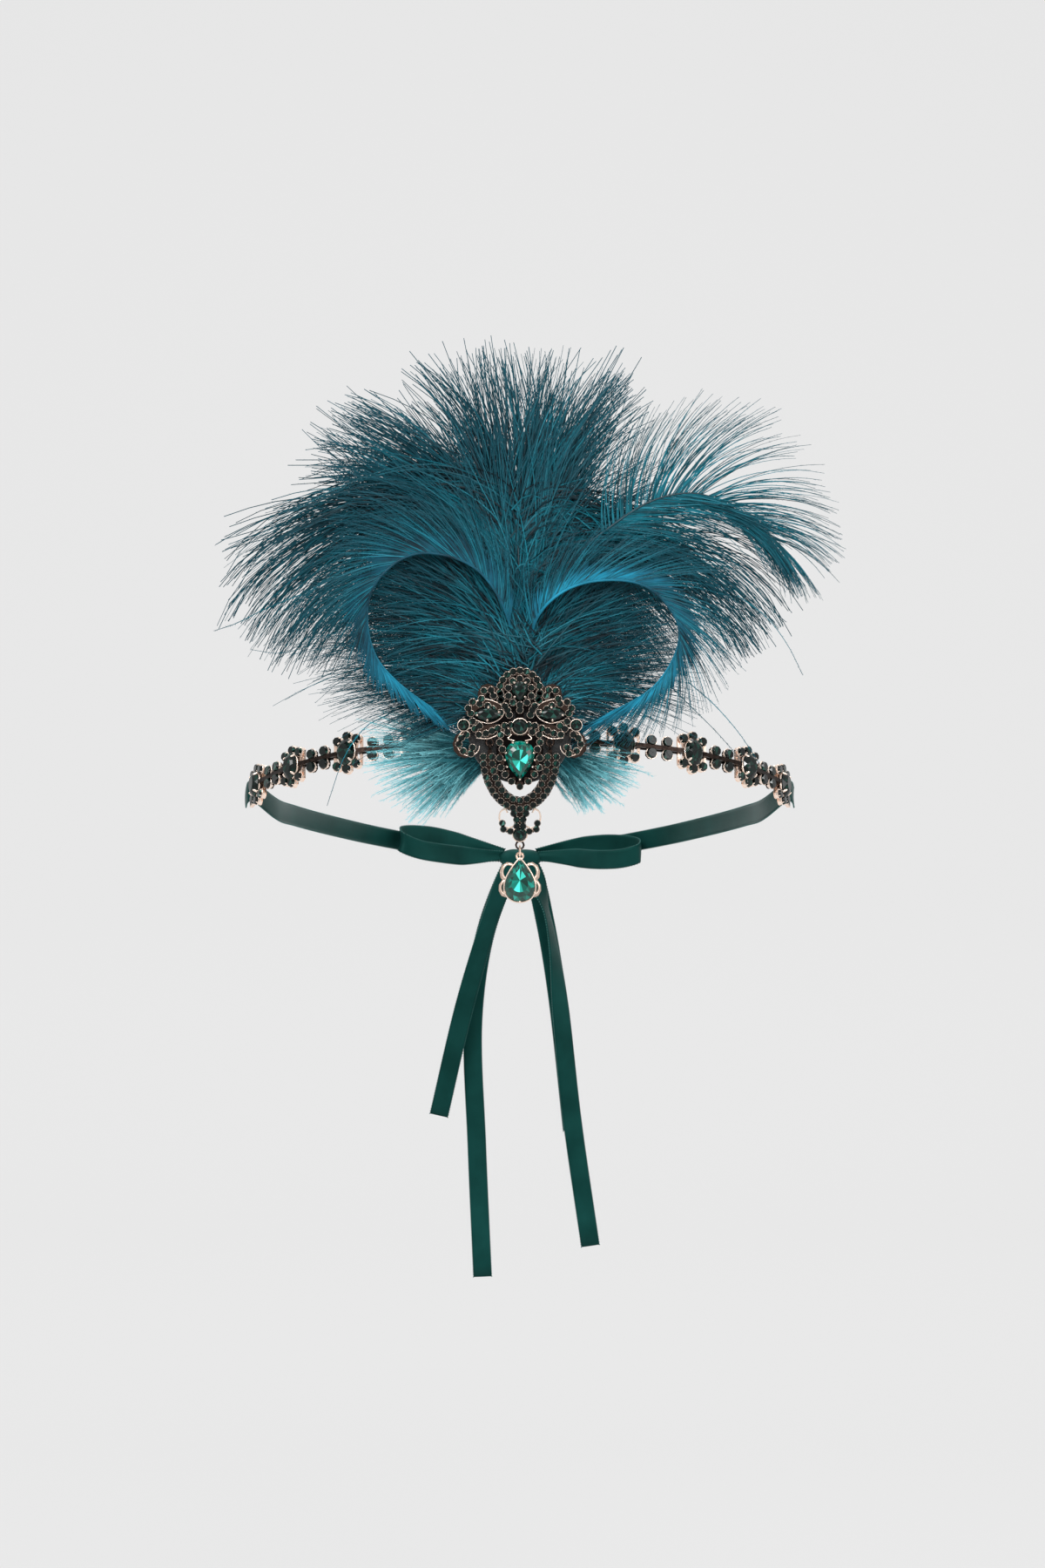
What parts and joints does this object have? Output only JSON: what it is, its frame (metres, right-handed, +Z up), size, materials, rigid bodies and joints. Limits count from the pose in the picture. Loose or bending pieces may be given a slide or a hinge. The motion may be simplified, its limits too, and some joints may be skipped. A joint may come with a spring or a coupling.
{
  "type": "flapper feather headband",
  "caption": "Headband of jewelled metal links with a feather plume, openwork brooch, hanging jewelled drop and ribbon ties",
  "frame": {"origin": "middle of the opening for the head, half way from the inside of the band at the forehead to the inside of the ribbon at the back and level with the middle of the band's slope", "axes": "+X to the right as seen from the front, +Y to the back of the head, +Z up, the brooch facing -Y"},
  "size_m": [0.173, 0.207, 0.2838],
  "materials": {
    "rose_gold": "polished rose gold plate",
    "dark_stone": "cut, near-black green",
    "emerald_stone": "cut, foil backed, emerald green",
    "ostrich": "dyed ostrich feather, dark teal",
    "goose": "dyed curled feather, bright teal blue",
    "marabou": "dyed down feather, pale teal",
    "satin": "satin ribbon, dark green",
    "felt": "black felt"
  },
  "bodies": {
    "headband": {"band_bridge": "rose_gold", "bow_knot": "satin", "bow_loop_left": "satin", "bow_loop_right": "satin", "brooch": "rose_gold", "brooch_cap_pear": "dark_stone", "brooch_navette_left": "dark_stone", "brooch_navette_right": "dark_stone", "brooch_pear": "emerald_stone", "brooch_round_center": "dark_stone", "brooch_round_left": "dark_stone", "brooch_round_right": "dark_stone", "column_link_left_1": "rose_gold", "column_link_left_2": "rose_gold", "column_link_left_3": "rose_gold", "column_link_left_4": "rose_gold", "column_link_right_1": "rose_gold", "column_link_right_2": "rose_gold", "column_link_right_3": "rose_gold", "column_link_right_4": "rose_gold", "curled_feather_left": "goose", "curled_feather_right": "goose", "end_link_left": "rose_gold", "end_link_right": "rose_gold", "felt_pad": "felt", "flower_link_left_1": "rose_gold", "flower_link_left_2": "rose_gold", "flower_link_left_3": "rose_gold", "flower_link_left_4": "rose_gold", "flower_link_right_1": "rose_gold", "flower_link_right_2": "rose_gold", "flower_link_right_3": "rose_gold", "flower_link_right_4": "rose_gold", "flower_stone_left_1": "dark_stone", "flower_stone_left_2": "dark_stone", "flower_stone_left_3": "dark_stone", "flower_stone_left_4": "dark_stone", "flower_stone_right_1": "dark_stone", "flower_stone_right_2": "dark_stone", "flower_stone_right_3": "dark_stone", "flower_stone_right_4": "dark_stone", "marabou_left": "marabou", "marabou_right": "marabou", "plume": "ostrich", "ribbon_tail_1": "satin", "ribbon_tail_2": "satin", "ribbon_tail_3": "satin", "ribbon_tail_4": "satin", "strap_left": "satin", "strap_right": "satin"},
    "hanging_swag": {"swag": "rose_gold", "swag_round": "dark_stone"},
    "hanging_ring": {"drop_ring": "rose_gold"},
    "hanging_drop": {"drop_setting": "rose_gold", "drop_pear": "emerald_stone"}
  },
  "joints": [
    {"name": "swag_swing", "type": "hinge", "parent": "headband", "child": "hanging_swag", "pos_m": [0, -0.10475, 0.01835], "axis": [-1, 0, 0], "range_deg": [-1.5, 75]},
    {"name": "ring_swing", "type": "hinge", "parent": "hanging_swag", "child": "hanging_ring", "pos_m": [0, -0.10475, -0.00975], "axis": [-1, 0, 0], "range_deg": [-60, 60]},
    {"name": "drop_swing", "type": "hinge", "parent": "hanging_ring", "child": "hanging_drop", "pos_m": [0, -0.10475, -0.01167], "axis": [0, -1, 0], "range_deg": [-45, 45]}
  ]
}
